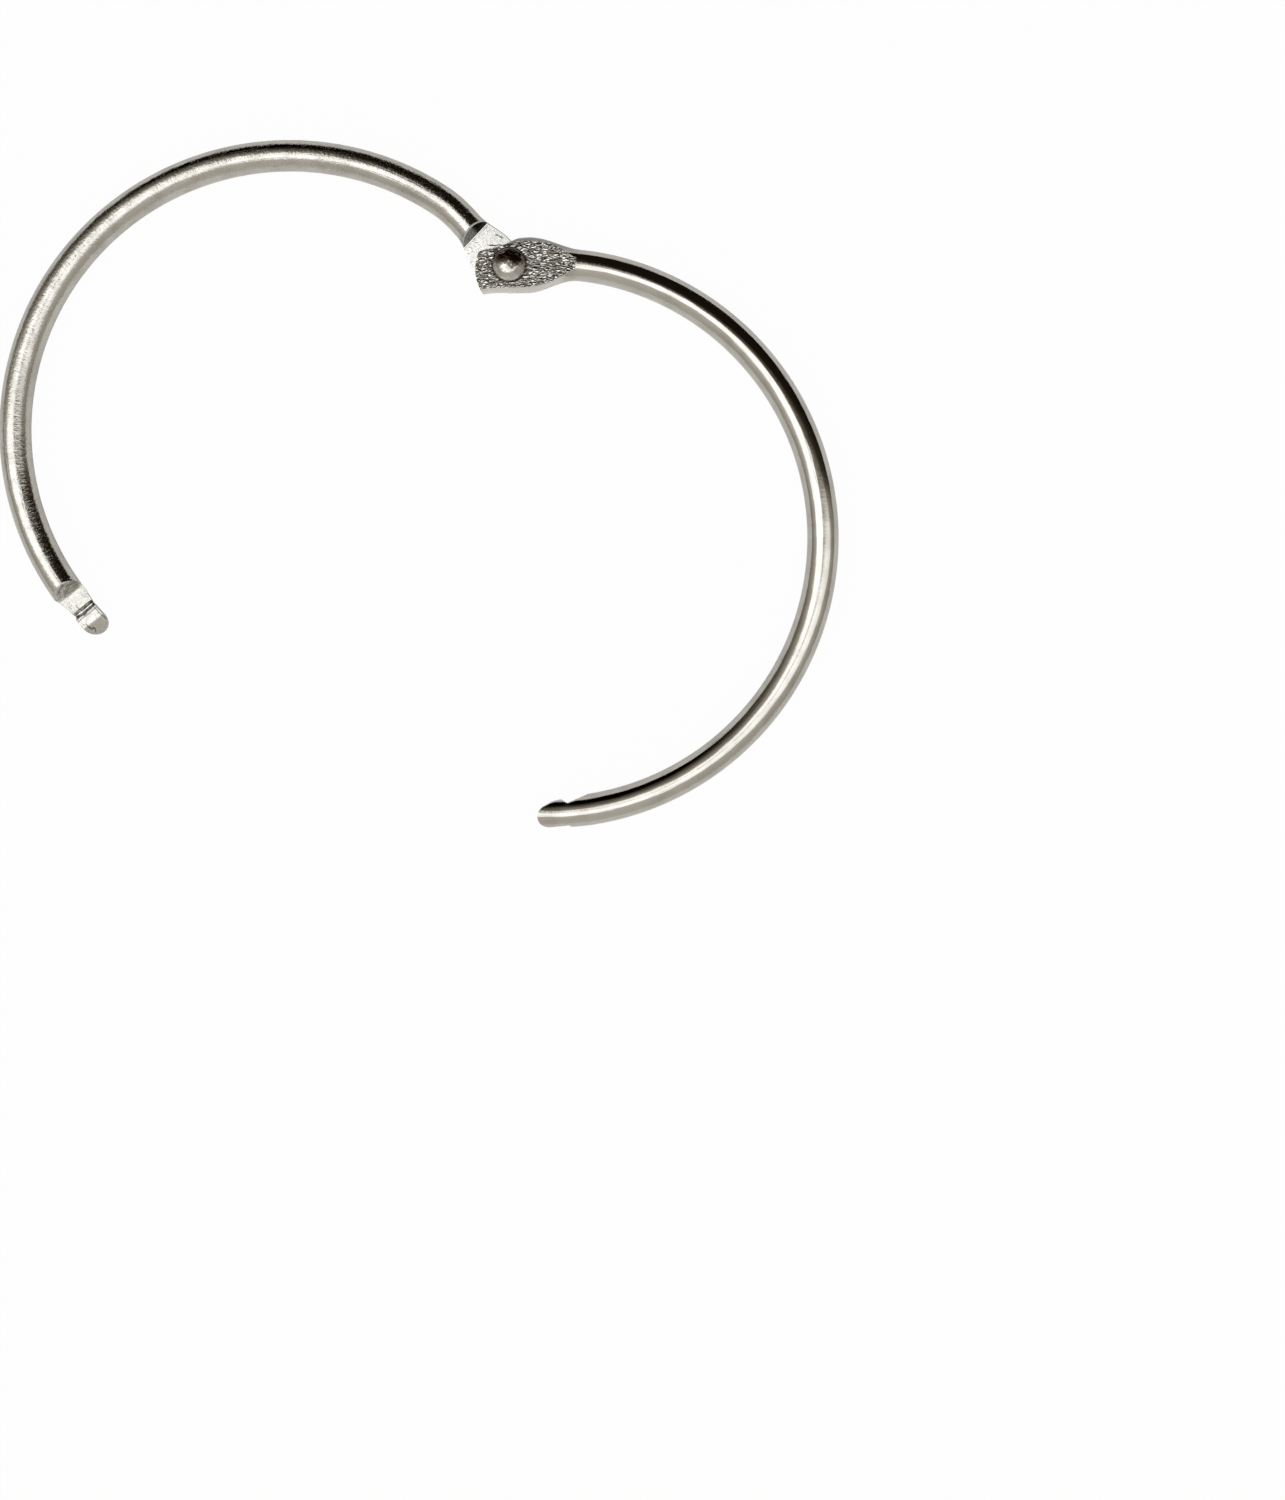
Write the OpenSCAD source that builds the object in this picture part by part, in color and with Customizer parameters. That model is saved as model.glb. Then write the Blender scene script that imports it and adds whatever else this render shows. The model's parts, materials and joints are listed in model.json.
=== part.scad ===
// Hinged binder ring, lying open on a table.
// Two half rings of round wire are forged flat and riveted together at one end.
// At the other end each is cut to a half-lap tongue with a ridge and a groove.

/* [Ring] */

// thickness of the round wire
wire_d = 4.5; // [4.3:0.1:4.9]
// inside diameter of the closed ring, the mean of across and along
inside_d = 76; // [64:1:90]
// distance of each half's bend centre from the ring's middle line
bend_offset = 1.5; // [0.5:0.1:2]
// angle that the ring stands open
opening = 57; // [10:1:90]

/* [Lugs] */

// arc length from the rivet to where the wire first leaves its bend's arc
leave_at = 14; // [12:0.5:18]
// arc length from the rivet to the tip of the outer flat
flat_tip_at = 9.5; // [8.6:0.1:9.7]
// arc length from the rivet to the widest part of a lug
widest_at = 2.6; // [1.5:0.1:4]
// how much narrower each side of a lug gets towards its end
end_narrowing = 0.76; // [0.4:0.02:1]
// half height that a lug's side would bulge to if it had no flat
lug_bulge = 3.75; // [3.3:0.05:4.2]
// arc length from the rivet to where that bulge is full
bulge_at = 5.5; // [4.5:0.1:6.5]
// depth of the outer flat below the top of the wire
flat_drop = 0.15; // [0.1:0.01:0.25]
// slope of the shoulder wall from upright
shoulder_slope = 27; // [20:1:40]
// gap from the mid-plane to each lug's mating face
lug_play = 0.02; // [0.01:0.01:0.04]

/* [Upper lug] */

// greatest width of the upper lug
upper_lug_w = 8; // [7.4:0.1:8.4]
// arc length from the rivet to where the upper half's wire starts to widen
upper_neck_at = 10.1; // [9.9:0.1:11]
// shift of the upper lug towards the inside of the ring
upper_lug_shift = 0.15; // [0:0.05:0.3]
// distance from the rivet axis to the end of the upper lug
upper_lug_end = 4.55; // [4.3:0.05:4.7]
// radius of the upper lug's end
upper_end_r = 6.5; // [5.5:0.1:7.5]
// gap between the upper half's shoulder and the end of the lower lug, in line
upper_shoulder_gap = 1.5; // [1.3:0.05:1.9]

/* [Lower lug] */

// greatest width of the lower lug
lower_lug_w = 6.9; // [6.6:0.1:7.2]
// arc length from the rivet to where the lower half's wire starts to widen
lower_neck_at = 8.5; // [8:0.1:9.4]
// shift of the lower lug towards the inside of the ring
lower_lug_shift = 1.05; // [0.6:0.05:1.1]
// distance from the rivet axis to the end of the lower lug
lower_lug_end = 3.7; // [3.5:0.05:3.9]
// radius of the lower lug's end
lower_end_r = 3.8; // [3.6:0.1:4.4]
// gap between the lower half's shoulder and the end of the upper lug, in line
lower_shoulder_gap = 2.15; // [1.8:0.05:2.4]

/* [Rivet] */

// shank diameter
shank_d = 2.3; // [2:0.1:2.5]
// radial clearance between the shank and the lugs
shank_clearance = 0.05; // [0.03:0.01:0.08]
// dome diameter
dome_d = 4.5; // [4:0.1:5]
// height of the dome, with its rim
dome_h = 1.7; // [1.4:0.05:1.9]
// height of the upright rim at the foot of the dome
dome_rim = 0.2; // [0.1:0.05:0.3]
// gap between the dome and the upper lug's flat
dome_play = 0.03; // [0.02:0.01:0.06]
// how much the countersink in the lower lug's flat widens the bore, each side
sink_flare = 0.3; // [0.25:0.01:0.4]
// depth of the countersink
sink_depth = 0.45; // [0.35:0.05:0.6]
// gap between the peened tail and the countersink
tail_gap = 0.02; // [0.01:0.01:0.03]
// depth below the lug's flat where the peened tail is widest
tail_belly_at = 0.2; // [0.15:0.01:0.25]

/* [Tongues] */

// length over which the two tongues overlap when the ring is shut
lap = 8.2; // [7.8:0.1:8.6]
// distance from the nose to where a tongue's inner side swells most
swell_at = 3.9; // [3.7:0.05:4]
// distance from the nose to the waist in a tongue's inner side
waist_at = 4.25; // [4.15:0.05:4.6]
// gap from the mid-plane to the ridge
ridge_play = 0.03; // [0.02:0.01:0.06]
// height of the end of the nose bevel from the mid-plane
bevel_level = 0.54; // [0.4:0.02:0.7]
// distance from the nose to the end of the nose bevel
bevel_at = 1.9; // [1.6:0.1:2.2]
// distance from the nose to the ridge
ridge_at = 3.4; // [3.2:0.05:3.5]
// flat length of the ridge
ridge_len = 0.25; // [0.15:0.05:0.35]
// depth of the groove from the mid-plane
groove_depth = 1.5; // [1.3:0.05:1.6]
// length of the steep wall from the ridge down to the groove floor
groove_wall = 0.4; // [0.3:0.05:0.5]
// length of the groove floor
groove_len = 0.3; // [0.2:0.05:0.4]
// how far the ramp crosses the mid-plane before it meets the other tongue's nose
ramp_lead = 1.2; // [0.9:0.05:1.3]
// gap along the wire between the other tongue's nose and the end of the ramp
nose_gap = 0.6; // [0.55:0.05:1.2]
// clearance between the ramp and the underside of the other tongue's nose
nose_clearance = 0.28; // [0.2:0.02:0.32]

/* [Upper tongue] */

// diameter of the upper tongue's round nose
upper_nose_d = 3.3; // [3:0.1:3.6]
// shift of that nose towards the outside of the ring
upper_nose_shift = 0.4; // [0:0.05:0.45]
// how much narrower than the wire the upper tongue's neck is on its outer side
upper_neck_inset = 0.4; // [0.3:0.02:0.5]
// distance from the nose to where that side steps out
upper_step_at = 4.4; // [4.2:0.05:4.6]
// distance from the nose to where that side is as wide as the wire
upper_outer_full_at = 4.85; // [4.8:0.05:6]
// how much narrower than the wire the swell on the inner side is
upper_swell_inset = 0.32; // [0.2:0.02:0.5]
// how much narrower than the wire the waist on the inner side is
upper_waist_inset = 0.82; // [0.5:0.02:0.9]
// distance from the nose to where the inner side is as wide as the wire
upper_inner_full_at = 7.8; // [6.5:0.1:8]

/* [Lower tongue] */

// diameter of the lower tongue's round nose
lower_nose_d = 3.6; // [3:0.1:3.7]
// shift of that nose towards the outside of the ring
lower_nose_shift = 0.05; // [0:0.05:0.3]
// how much narrower than the wire the lower tongue's neck is on its outer side
lower_neck_inset = 0.58; // [0.4:0.02:0.7]
// distance from the nose to where that side starts to widen
lower_step_at = 5.5; // [5:0.05:6]
// distance from the nose to where that side is as wide as the wire
lower_outer_full_at = 8.2; // [7:0.1:8.4]
// how much narrower than the wire the swell on the inner side is
lower_swell_inset = 0.46; // [0.2:0.02:0.6]
// how much narrower than the wire the waist on the inner side is
lower_waist_inset = 0.5; // [0.3:0.02:0.7]
// distance from the nose to where the inner side is as wide as the wire
lower_inner_full_at = 7.2; // [6.5:0.1:8]

/* [Hidden] */

$fn = 96;
wire_r = wire_d / 2;
bend_r = (inside_d + wire_d - bend_offset) / 2;
ring_h = 2 * sqrt(bend_r * bend_r - bend_offset * bend_offset);
bend_y = -ring_h / 2;
rivet_angle = 90 + asin(bend_offset / bend_r);
lug_t = wire_r - flat_drop;
bore_d = shank_d + 2 * shank_clearance;
sink_d = bore_d + 2 * sink_flare;
upper_shoulder_at = lower_lug_end + upper_shoulder_gap;
lower_shoulder_at = upper_lug_end + lower_shoulder_gap;
ramp_mid_at = lap - ramp_lead;
ramp_end_at = lap + nose_gap;
groove_at = ridge_at + ridge_len + groove_wall;
nose_level = wire_r * ramp_lead / (ramp_lead + nose_gap) + nose_clearance;

// overlaps and cutter sizes
end_over = wire_d / 8;
seam = wire_d / 45;
skin = wire_d / 110;
reach = 2 * leave_at;
wide = max(upper_lug_w, lower_lug_w) + wire_d;
deep = wire_d;
stations = 32;
section_points = 48;

// each tongue's plan: its nose, its outer neck and the swell, waist and end of its inner side
upper_tongue = [
    upper_nose_d / 2, upper_nose_shift, upper_neck_inset, upper_step_at, upper_outer_full_at,
    upper_swell_inset, upper_waist_inset, upper_inner_full_at
];
lower_tongue = [
    lower_nose_d / 2, lower_nose_shift, lower_neck_inset, lower_step_at, lower_outer_full_at,
    lower_swell_inset, lower_waist_inset, lower_inner_full_at
];

// where the ring reaches to when it stands open
half_open = opening / 2;
lowest_y = min(nose_bottom(upper_tongue), nose_bottom(lower_tongue));
open_bend_y = bend_offset * sin(half_open) + bend_y * cos(half_open);
highest_y = open_bend_y + bend_r + wire_r;
middle_y = (highest_y + lowest_y) / 2;

steel = [0.72, 0.71, 0.68];
bright = [0.8, 0.79, 0.77];

function ease(t) = (1 - cos(180 * max(0, min(1, t)))) / 2;

// angle about the bend centre of the station that is s along the arc from the rivet
function turn(s) = rivet_angle - s * 180 / (PI * bend_r);

// point of the station s, moved out by off
function arc_at(s, off = 0) =
    [bend_offset + (bend_r + off) * cos(turn(s)), bend_y + (bend_r + off) * sin(turn(s))];

// plan point of a tongue at the distance q from its nose's end, moved out of the arc by v
function tongue_at(q, v) =
    let (x = q - lap / 2)
    [x, bend_y - sqrt(pow(bend_r + v, 2) - pow(x - bend_offset, 2))];

// where the line from the point p touches the circle about c: side is 1 for its inner side
function touching(c, r, p, side) =
    let (d = p - c, a = atan2(d.y, d.x) + side * acos(min(1, r / norm(d))))
    c + r * [cos(a), sin(a)];

// lowest point of a tongue's round nose when the ring stands open
function nose_bottom(t) =
    let (c = tongue_at(t[0], t[1]))
    c.x * sin(half_open) + c.y * cos(half_open) - t[0];

// half width of a lug at the station s
function half_width(s, w, end, neck_at) =
    s > widest_at
        ? wire_r - skin + (w / 2 - wire_r + skin) * ease((neck_at - s) / (neck_at - widest_at))
        : w / 2 - end_narrowing * ease((widest_at - s) / (widest_at + end + end_over));

// half height that the lug's side bulges to at the station s
function half_height(s) =
    wire_r - skin + (lug_bulge - wire_r + skin) * ease((flat_tip_at - s) / (flat_tip_at - bulge_at));

// how far a lug's middle line lies inside the bend's arc at the station s
function inward(s, shift, end) =
    s > widest_at
        ? -shift * ease((leave_at - s) / (leave_at - widest_at))
        : -shift * (1 - ease((widest_at - s) / (widest_at + end + end_over)));

function section_point(s, a, w, neck_at, shift, end) =
    let (p = arc_at(s, inward(s, shift, end) + half_width(s, w, end, neck_at) * cos(a)))
    [p.x, p.y, sin(a) * (sin(a) > 0 ? half_height(s) : wire_r - skin)];

module at_station(s)
    translate(arc_at(s))
        rotate(turn(s) - 90)
            children();

// a prism across the ring whose outline is drawn in x and z
module across(w)
    rotate([90, 0, 0])
        linear_extrude(height = w, center = true)
            children();

// the forged end of the wire: it widens along the bend, before its flats are struck
module forged_end(w, neck_at, shift, end) {
    n = section_points;
    step = (leave_at + end + end_over) / stations;
    points = [
        for (i = [0 : stations])
            for (j = [0 : n - 1])
                section_point(leave_at - i * step, 360 * j / n, w, neck_at, shift, end)
    ];
    near = [
        for (i = [0 : stations - 1])
            for (j = [0 : n - 1])
                [i * n + j, i * n + (j + 1) % n, (i + 1) * n + j]
    ];
    far = [
        for (i = [0 : stations - 1])
            for (j = [0 : n - 1])
                [i * n + (j + 1) % n, (i + 1) * n + (j + 1) % n, (i + 1) * n + j]
    ];
    first = [for (j = [n - 1 : -1 : 0]) j];
    last = [for (j = [0 : n - 1]) stations * n + j];
    polyhedron(points, concat([first], near, far, [last]));
}

// plan of a lug's end: a round end, and everything on the wire's side of its centre
module end_plan(end, end_r)
    at_station(end_r - end) {
        circle(r = end_r);
        translate([0, -wide])
            square([reach, 2 * wide]);
    }

// what is struck away under a lug: a level face up to a sloping shoulder
module mating_cut(shoulder_at)
    at_station(shoulder_at)
        across(2 * wide)
            polygon([
                [-reach, lug_play],
                [0, lug_play],
                [(deep + lug_play) * tan(shoulder_slope), -deep],
                [-reach, -deep]
            ]);

// what is struck away over a lug
module outer_flat_cut()
    at_station(flat_tip_at)
        translate([-reach, -wide, lug_t])
            cube([reach, 2 * wide, deep]);

module lug(w, neck_at, shift, end, end_r, shoulder_at)
    difference() {
        intersection() {
            forged_end(w, neck_at, shift, end);
            translate([0, 0, -2 * deep])
                linear_extrude(height = 4 * deep)
                    end_plan(end, end_r);
        }
        mating_cut(shoulder_at);
        outer_flat_cut();
        translate([0, 0, -deep])
            cylinder(d = bore_d, h = 2 * deep);
    }

// plan of a tongue: a round nose, straight to the step and the swell, then as wide as the wire
module tongue_plan(t) {
    full = wire_r + seam;
    nose = tongue_at(t[0], t[1]);
    neck = tongue_at(t[3], wire_r - t[2]);
    swell = tongue_at(swell_at, t[5] - wire_r);
    translate(nose)
        circle(r = t[0]);
    polygon([
        touching(nose, t[0], neck, -1),
        neck,
        tongue_at(t[4], full),
        tongue_at(ramp_end_at, full),
        tongue_at(ramp_end_at, -full),
        tongue_at(t[7], -full),
        tongue_at(waist_at, t[6] - wire_r),
        swell,
        touching(nose, t[0], swell, 1)
    ]);
    translate([ramp_end_at - lap / 2, bend_y - bend_r - wide])
        square([2 * bend_r, 2 * wide + ring_h]);
}

// what is cut away under a tongue: nose bevel, pad, ridge, groove and ramp
module tongue_cut()
    translate([-lap / 2, bend_y - bend_r, 0])
        across(2 * wide)
            polygon([
                [-seam, -deep],
                [-seam, nose_level],
                [0, nose_level],
                [bevel_at, bevel_level],
                [ridge_at, ridge_play],
                [ridge_at + ridge_len, ridge_play],
                [groove_at, groove_depth],
                [groove_at + groove_len, groove_depth],
                [ramp_mid_at, 0],
                [ramp_end_at, -wire_r],
                [ramp_end_at, -deep]
            ]);

module wire() {
    start = turn(leave_at - seam);
    finish = turn(0) - 180 - 2 * asin(bend_offset / bend_r) - (lap / 2 + seam / 2) * 180 / (PI * bend_r);
    translate([bend_offset, bend_y])
        rotate(finish)
            rotate_extrude(angle = start - finish)
                translate([bend_r, 0])
                    circle(r = wire_r);
}

// one half of the shut ring, on the +x side, with its lug and tongue above the mid-plane
module half_ring(w, neck_at, shift, end, end_r, shoulder_at, tongue) {
    lug(w, neck_at, shift, end, end_r, shoulder_at);
    difference() {
        intersection() {
            wire();
            translate([0, 0, -deep])
                linear_extrude(height = 2 * deep)
                    tongue_plan(tongue);
        }
        tongue_cut();
    }
}

// places the ring: its wires lie on the ground, its bounding box is centred on the axes
module placed()
    translate([0, -middle_y, wire_r])
        children();

module upper_half_ring()
    color(steel)
        placed()
            rotate(half_open)
                half_ring(
                    upper_lug_w, upper_neck_at, upper_lug_shift, upper_lug_end, upper_end_r,
                    upper_shoulder_at, upper_tongue
                );

module lower_half_ring()
    color(steel)
        placed()
            rotate(-half_open)
                rotate([0, 180, 0])
                    difference() {
                        half_ring(
                            lower_lug_w, lower_neck_at, lower_lug_shift, lower_lug_end, lower_end_r,
                            lower_shoulder_at, lower_tongue
                        );
                        translate([0, 0, lug_t - sink_depth])
                            cylinder(d1 = bore_d, d2 = sink_d, h = sink_depth);
                    }

module hinge_rivet() {
    dome_foot = lug_t + dome_play;
    cap_h = dome_h - dome_rim;
    cap_r = (pow(dome_d / 2, 2) + pow(cap_h, 2)) / (2 * cap_h);
    sink_slope = (sink_d - bore_d) / 2 / sink_depth;
    belly_r = sink_d / 2 - tail_belly_at * sink_slope - tail_gap;
    belly_z = tail_belly_at - lug_t;
    neck_z = sink_depth - lug_t;
    end_z = tail_gap - lug_t;
    color(bright)
        placed() {
            translate([0, 0, dome_foot])
                cylinder(d = dome_d, h = dome_rim);
            intersection() {
                translate([0, 0, dome_foot + dome_h - cap_r])
                    rotate([90, 0, 0])
                        sphere(r = cap_r);
                translate([0, 0, dome_foot + dome_rim])
                    cylinder(d = 2 * dome_d, h = dome_h);
            }
            translate([0, 0, neck_z])
                cylinder(d = shank_d, h = dome_foot - neck_z);
            translate([0, 0, belly_z])
                cylinder(r1 = belly_r, d2 = shank_d, h = neck_z - belly_z);
            translate([0, 0, end_z])
                cylinder(d1 = shank_d, r2 = belly_r, h = belly_z - end_z);
        }
}

upper_half_ring();
lower_half_ring();
hinge_rivet();
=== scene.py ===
"""Dresses the hinged binder ring: two plated half rings and the rivet that joins them."""

import json
import math

import bmesh
import bpy
import numpy as np
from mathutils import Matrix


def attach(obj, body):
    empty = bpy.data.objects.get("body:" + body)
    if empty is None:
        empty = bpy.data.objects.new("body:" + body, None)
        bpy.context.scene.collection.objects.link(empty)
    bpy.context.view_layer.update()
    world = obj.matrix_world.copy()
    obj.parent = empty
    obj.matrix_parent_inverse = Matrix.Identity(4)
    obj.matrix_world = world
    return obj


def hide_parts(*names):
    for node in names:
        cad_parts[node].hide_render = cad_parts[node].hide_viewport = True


bl_info = {
    "name": "Binder Ring",
    "version": (1, 0, 0),
    "blender": (4, 5, 0),
    "location": "3D View > Sidebar > Binder Ring",
    "description": "Builds a hinged loose-leaf ring of plated wire on a small studio stage",
    "category": "Object",
}

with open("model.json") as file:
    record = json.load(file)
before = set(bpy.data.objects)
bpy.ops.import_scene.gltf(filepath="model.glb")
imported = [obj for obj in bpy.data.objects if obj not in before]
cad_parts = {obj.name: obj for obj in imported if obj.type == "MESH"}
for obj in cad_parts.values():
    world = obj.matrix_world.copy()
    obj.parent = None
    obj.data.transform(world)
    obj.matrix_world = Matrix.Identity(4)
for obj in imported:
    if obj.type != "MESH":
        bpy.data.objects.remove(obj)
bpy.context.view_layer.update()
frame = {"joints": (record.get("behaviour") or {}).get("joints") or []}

# ---- sizes, in millimetres
MM = 0.001
TO_MM = (1 / MM,) * 3
WIRE_R = 2.25
BEND_OFFSET = 1.5
BEND_R = 39.5
BEND_Y = -math.sqrt(BEND_R**2 - BEND_OFFSET**2)
HALF_OPEN = math.radians(28.5)
HINGE = np.array(frame["joints"][0]["pos_m"]) / MM
RIVET_TURN = math.pi / 2 + math.asin(BEND_OFFSET / BEND_R)

# the forged lugs, as distances along the bend from the rivet's axis. A lug's trim is the line
# that its outer corner is cut to, as distances along and out
NO_LIMIT = 9.0
LEAVE_AT = 14.0
FLAT_TIP_AT = 9.5
WIDEST_AT = 2.6
BULGE_AT = 5.5
END_NARROWING = 0.76
END_OVER = WIRE_R / 4
LUG_BULGE = 3.75
LUG_T = WIRE_R - 0.15
LUG_PLAY = 0.02
SHOULDER_TAN = math.tan(math.radians(27))
LUGS = {
    "upper": {
        "width": 8.0, "shift": 0.15, "shoulder": 5.2, "neck": 10.1,
        "end": 4.95, "end_r": 6.5, "end_in": 0.8,
        "trim": [(-4.0, 2.7), (-0.6, 2.8), (1.35, 3.62), (2.6, 4.5)],
    },
    "lower": {
        "width": 6.9, "shift": 1.05, "shoulder": 6.7, "neck": 8.5,
        "end": 3.7, "end_r": 3.8, "end_in": 0.0,
        "trim": [(0.0, NO_LIMIT), (2.0, NO_LIMIT)],
    },
}
TRIM_ROUND = 0.4
BORE_R = 1.2
SINK_R = 1.5
SINK_DEPTH = 0.45
RIM_AT = 0.16
RIM_HALF = 0.13
CUT_BLEND = 0.1

# the half-lap tongues, as distances from the nose's end towards the wire. Each plan is a round
# nose of a radius, shifted outwards, and the points that its outer and inner sides run through,
# each a distance and how far it lies out from the middle line. The levels are those of the cut
# face over the ring's mid-plane
LAP = 8.2
NOSE_AT = (RIVET_TURN + math.acos((-LAP / 2 - BEND_OFFSET) / BEND_R)) * BEND_R
WIDE_ENOUGH = WIRE_R + 0.1
TONGUES = {
    "upper": {
        "nose": (1.65, 0.4),
        "outer": [(4.4, 1.85), (4.85, WIDE_ENOUGH), (8.8, WIDE_ENOUGH)],
        "inner": [
            (2.2, -1.62), (2.9, -1.8), (3.4, -1.86), (3.8, -1.82), (4.1, -1.68),
            (4.3, -1.52), (4.5, -1.45), (4.8, -1.5), (7.8, -WIDE_ENOUGH), (8.8, -WIDE_ENOUGH),
        ],
    },
    "lower": {
        "nose": (1.8, 0.05),
        "outer": [(5.5, 1.67), (8.2, WIDE_ENOUGH), (8.8, WIDE_ENOUGH)],
        "inner": [(3.9, -1.79), (4.25, -1.75), (7.2, -WIDE_ENOUGH), (8.8, -WIDE_ENOUGH)],
    },
}
TONGUE_LEVELS = [
    (0.0, 1.78), (1.75, 0.52), (2.0, 0.36), (3.2, 0.22), (3.4, 0.03), (3.65, 0.03),
    (4.05, 1.5), (4.35, 1.5), (4.62, 0.72), (7.1, 0.35), (8.8, -2.25),
]

# the rivet, as heights over the ring's mid-plane
DOME_R = 2.33
DOME_FOOT = 2.13
DOME_RIM = 0.55
DOME_BLUNT = 2.6
DOME_LEAN = 0.35
DOME_TOP = 3.83
SHANK_R = 1.15
NECK_Z = -1.65
BELLY_Z, BELLY_R = -1.9, 1.347
TAIL_Z = -2.08
RIVET_SIDES = 128

# how the grids are spread: points over a flat face and up a side of the wire, the steps between
# sections, and how far the steps shrink towards the ends
FACE_POINTS = 56
SIDE_POINTS = 30
LUG_STEP, LUG_CROWD = 0.11, 1.2
NECK_STEP = 0.25
TONGUE_STEP, NOSE_CROWD, TONGUE_REACH = 0.14, 0.9, 12.4
WIRE_STATIONS = 104
CLOSEST = 0.018
# the block of cells that becomes the bore, as a part of the bore's radius
BLOCK_PART = 0.82
# the angles of a section's corners on its ellipse, and how far they drift, in degrees
CORNER_AT, CORNER_DRIFT, CORNER_DRIFT_TOP = 45, 24, 9.4
# how far from the nose's end the sections start to turn square to the tongue, and over how much
STRAIGHT_FROM, STRAIGHT_OVER = 13.5, 2.5
# the straight way to the nose's end, as a part of the way round the bend
TIP_SCALE = 0.99
TINY = 1e-9
# points closer than MERGE are made one, and edges shorter than SLIVER are taken out, in metres
MERGE, SLIVER = 0.0004 * MM, 0.00001 * MM

# ---- the stage, in metres
# the lens is shifted by parts of the image's height, which is in pixels
IMAGE_HEIGHT = 1500
CAMERA_TURN = math.radians(22.62)
CAMERA_AT = (0.03242, 0.00314, 0.37495)
FOCAL, SENSOR = 62.16, 36.0
SHIFT = (2.5 / IMAGE_HEIGHT, -210 / IMAGE_HEIGHT)
CLIP = (0.01, 20)
FLOOR_HALF = 1.5
FLOOR_GLOW, FLOOR_GLOW_IN_METAL = 0.97, 0.06
OVERHEAD_AT = (0.03, -0.06, 1.0)
OVERHEAD_SIZE, OVERHEAD_POWER = 0.7, 1.0
# the long light that only the metal sees: the way to its middle, and its angles
LAMP_MIDDLE = np.array([0.013, -0.087, 1.0])
LAMP_SQUEEZE = 0.278
LAMP_SIZE, LAMP_EDGE = math.radians(20.5), 0.04
LAMP_REACH = math.radians(69)


# ---- settings
class RingSizes(bpy.types.PropertyGroup):
    """Sizes of the small forms that the finish of the ring needs."""

    edge_round: bpy.props.FloatProperty(
        name="Edge rounding",
        description="How softly the forged edges are broken",
        default=0.00005,
        min=0.00001,
        max=0.0002,
        unit="LENGTH",
        precision=6,
    )
    break_round: bpy.props.FloatProperty(
        name="Corner rounding",
        description="How softly one cut face of a lug or tongue runs into the next",
        default=0.00006,
        min=0.00001,
        max=0.0003,
        unit="LENGTH",
        precision=6,
    )
    hammer_depth: bpy.props.FloatProperty(
        name="Hammered relief",
        description="Depth of the crinkled relief on the outer flats of the lugs",
        default=0.00009,
        min=0.0,
        max=0.0003,
        unit="LENGTH",
        precision=6,
    )
    dent_depth: bpy.props.FloatProperty(
        name="Waves",
        description="Depth of the faint waves that bending leaves in the wire",
        default=0.00002,
        min=0.0,
        max=0.00005,
        unit="LENGTH",
        precision=7,
    )


COLOUR = {"size": 3, "subtype": "COLOR", "min": 0.0, "max": 1.0}


class RingColours(bpy.types.PropertyGroup):
    """Colours of the plating and of the stage."""

    nickel: bpy.props.FloatVectorProperty(
        name="Nickel",
        description="Colour of the clean plating on the wires",
        default=(0.66, 0.64, 0.6),
        **COLOUR,
    )
    struck: bpy.props.FloatVectorProperty(
        name="Struck faces",
        description="Colour of the plating on the faces that are struck flat",
        default=(0.8, 0.79, 0.75),
        **COLOUR,
    )
    dull: bpy.props.FloatVectorProperty(
        name="Dull plating",
        description="Colour of the plating where it is thin and stained",
        default=(0.33, 0.3, 0.26),
        **COLOUR,
    )
    # the colour of real specks, ticks and scratches, and also of painted shade in creases, grooves,
    # corners, on the lug's flanks and round the rivet's head
    grime_and_shade: bpy.props.FloatVectorProperty(
        name="Crevices",
        description="Colour of the plating in creases, specks and corners where dirt stays",
        default=(0.07, 0.06, 0.05),
        **COLOUR,
    )
    stain: bpy.props.FloatVectorProperty(
        name="Stain",
        description="Colour of the brown stain on the rivet's head",
        default=(0.17, 0.1, 0.09),
        **COLOUR,
    )
    # the colour of plating polished bright by handling, and also of painted highlights on the lug's
    # near flank, the tongue's pads and ramp, and along the edges
    worn_and_highlight: bpy.props.FloatVectorProperty(
        name="Worn edges",
        description="Colour of the edges that handling has rubbed bright",
        default=(0.9, 0.89, 0.86),
        **COLOUR,
    )
    floor: bpy.props.FloatVectorProperty(
        name="Floor",
        description="Colour of the floor under the ring",
        default=(0.93, 0.93, 0.93),
        **COLOUR,
    )


# ---- shapes as numbers
# s is how far along the bend a section stands from the rivet's axis, and turn its angle about
# the bend's centre. q is how far it stands from the nose's end, and off is how far a point lies
# out from the wire's middle line.
def ease(t):
    """Half a cosine wave: 0 up to t = 0, 1 from t = 1, and level at both ends."""
    return (1 - np.cos(np.pi * np.clip(t, 0, 1))) / 2


def soft_ramp(x, r):
    """x where x is large and 0 where it is well below 0, joined by a hyperbola about r wide."""
    return (x + np.sqrt(x * x + r * r)) / 2


def soft_line(x, knots, r):
    """The line through the knots with each break rounded: its first slope carried on for ever,
    plus a soft ramp at each knot that is as steep as the slope changes there."""
    kx, ky = np.array(knots).T
    slopes = np.diff(ky) / np.diff(kx)
    level = ky[0] + slopes[0] * (x - kx[0])
    for at, change in zip(kx[1:-1], np.diff(slopes)):
        level = level + change * soft_ramp(x - at, r)
    return level


def bend_point(turn, off):
    """The point at an angle about the bend's centre, moved out from the middle line by off."""
    return BEND_OFFSET + (BEND_R + off) * np.cos(turn), BEND_Y + (BEND_R + off) * np.sin(turn)


def section_turn(turn, straight, off):
    """The angle of a section's point that lies off from the middle line. A section across the
    wire keeps one angle, a section across a tongue keeps one x, and straight mixes the two."""
    x = BEND_OFFSET + BEND_R * np.cos(turn)
    level = -np.arccos(np.clip((x - BEND_OFFSET) / (BEND_R + off), -1, 1))
    return turn + straight * (level - turn)


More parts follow.
